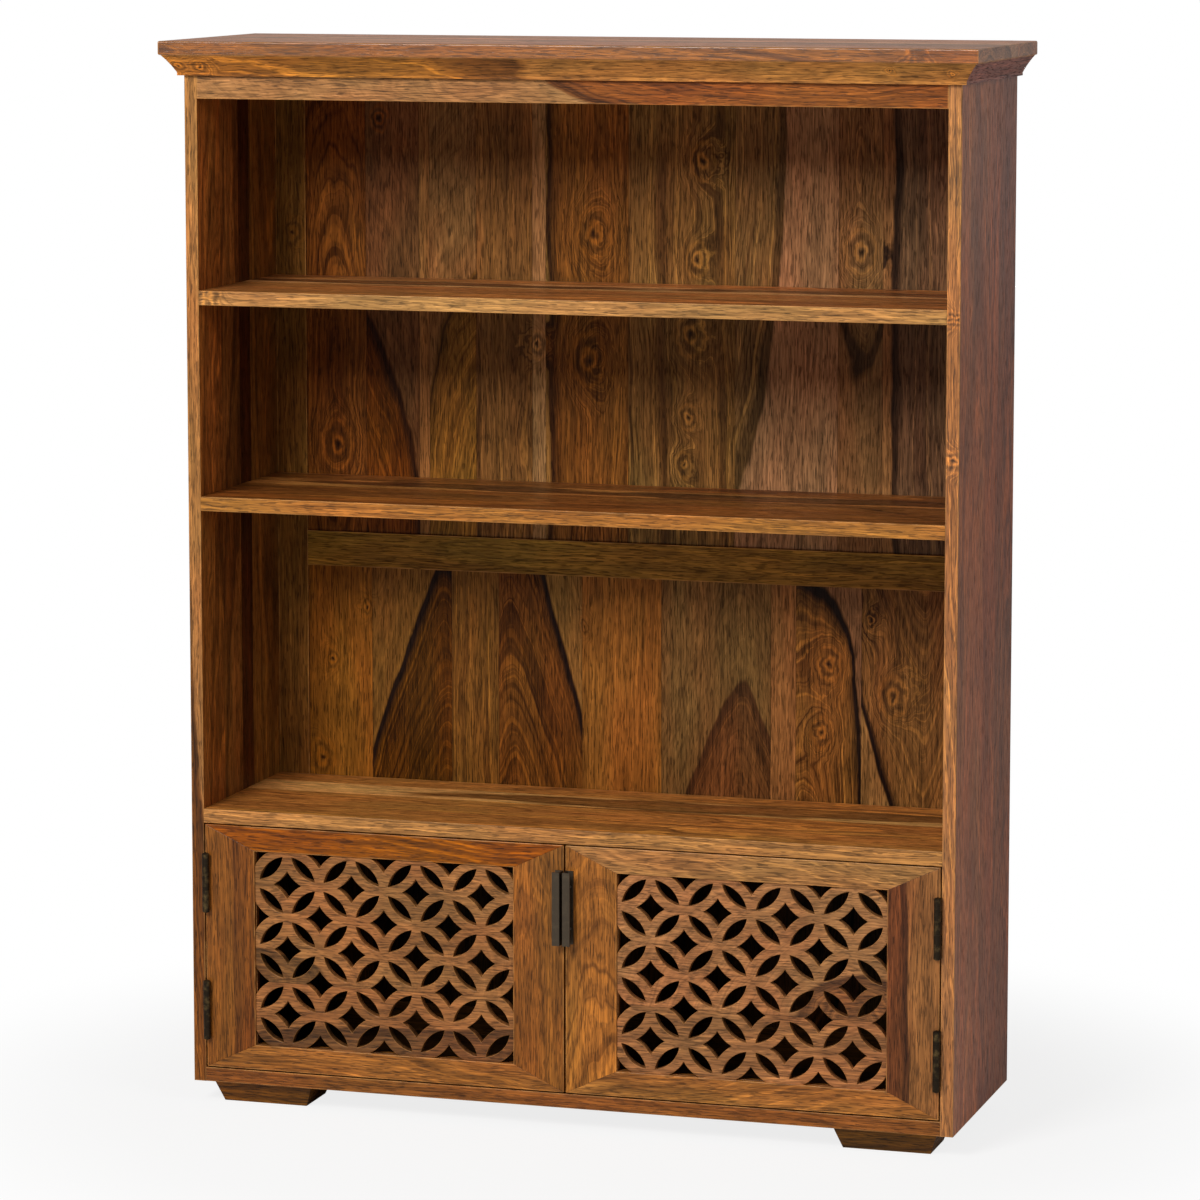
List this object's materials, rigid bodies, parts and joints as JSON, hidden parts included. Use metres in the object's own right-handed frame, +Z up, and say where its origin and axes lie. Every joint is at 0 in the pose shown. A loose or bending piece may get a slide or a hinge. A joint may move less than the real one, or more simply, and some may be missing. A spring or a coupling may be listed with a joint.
{
  "type": "bookcase with lattice doors",
  "caption": "Solid-wood bookcase with open shelves above a cupboard closed by a pair of hinged lattice doors, under a mitred cornice and on block feet.",
  "frame": {"origin": "on the floor, at the middle of the overall width and depth", "axes": "+X to the right seen from the front, +Y to the rear, +Z up"},
  "size_m": [1.26, 0.4, 1.635],
  "materials": {
    "carcass_wood": "satin lacquer",
    "back_wood": "satin lacquer",
    "door_wood": "satin lacquer",
    "lattice_wood": "satin lacquer",
    "foot_wood": "satin lacquer",
    "dowel_beech": "bare beech",
    "hinge_brass": "aged dark, satin",
    "handle_iron": "antique dark finish, satin",
    "screw_steel": "yellow zinc",
    "catch_plastic": "moulded brown",
    "magnet_iron": "sintered ferrite",
    "strike_steel": "zinc plated"
  },
  "bodies": {
    "carcass": {"back_bottom_rail": "back_wood", "back_lower_panel": "back_wood", "back_middle_rail": "back_wood", "back_screws": "screw_steel", "back_stile_left": "back_wood", "back_stile_right": "back_wood", "back_top_rail": "back_wood", "back_upper_panel": "back_wood", "bottom_board": "carcass_wood", "cabinet_shelf": "carcass_wood", "carcass_dowels": "dowel_beech", "carcass_hinge_screws": "screw_steel", "catch_bodies": "catch_plastic", "catch_magnets": "magnet_iron", "catch_screws": "screw_steel", "cornice_front": "carcass_wood", "cornice_left": "carcass_wood", "cornice_right": "carcass_wood", "crown_board": "carcass_wood", "foot_front_left": "foot_wood", "foot_front_right": "foot_wood", "foot_rear_left": "foot_wood", "foot_rear_right": "foot_wood", "foot_screws": "screw_steel", "frieze_rail": "carcass_wood", "left_hinge_pins": "hinge_brass", "left_lower_hinge_carcass_leaf": "hinge_brass", "left_side_panel": "carcass_wood", "left_upper_hinge_carcass_leaf": "hinge_brass", "lower_shelf": "carcass_wood", "right_hinge_pins": "hinge_brass", "right_lower_hinge_carcass_leaf": "hinge_brass", "right_side_panel": "carcass_wood", "right_upper_hinge_carcass_leaf": "hinge_brass", "upper_shelf": "carcass_wood"},
    "left_door": {"left_door_bottom_rail": "door_wood", "left_door_corner_dowels": "dowel_beech", "left_door_handle": "handle_iron", "left_door_handle_screws": "screw_steel", "left_door_hinge_stile": "door_wood", "left_door_lattice_panel": "lattice_wood", "left_door_meeting_stile": "door_wood", "left_door_strike_plate": "strike_steel", "left_door_top_rail": "door_wood", "left_door_wood_screws": "screw_steel", "left_lower_hinge_door_leaf": "hinge_brass", "left_upper_hinge_door_leaf": "hinge_brass"},
    "right_door": {"right_door_bottom_rail": "door_wood", "right_door_corner_dowels": "dowel_beech", "right_door_handle": "handle_iron", "right_door_handle_screws": "screw_steel", "right_door_hinge_stile": "door_wood", "right_door_lattice_panel": "lattice_wood", "right_door_meeting_stile": "door_wood", "right_door_strike_plate": "strike_steel", "right_door_top_rail": "door_wood", "right_door_wood_screws": "screw_steel", "right_lower_hinge_door_leaf": "hinge_brass", "right_upper_hinge_door_leaf": "hinge_brass"}
  },
  "joints": [
    {"name": "left_door_swing", "type": "hinge", "parent": "carcass", "child": "left_door", "pos_m": [-0.5754, -0.1761, 0.2485], "axis": [0, 0, -1], "range_deg": [0, 180]},
    {"name": "right_door_swing", "type": "hinge", "parent": "carcass", "child": "right_door", "pos_m": [0.5754, -0.1761, 0.2485], "axis": [0, 0, 1], "range_deg": [0, 180]}
  ]
}
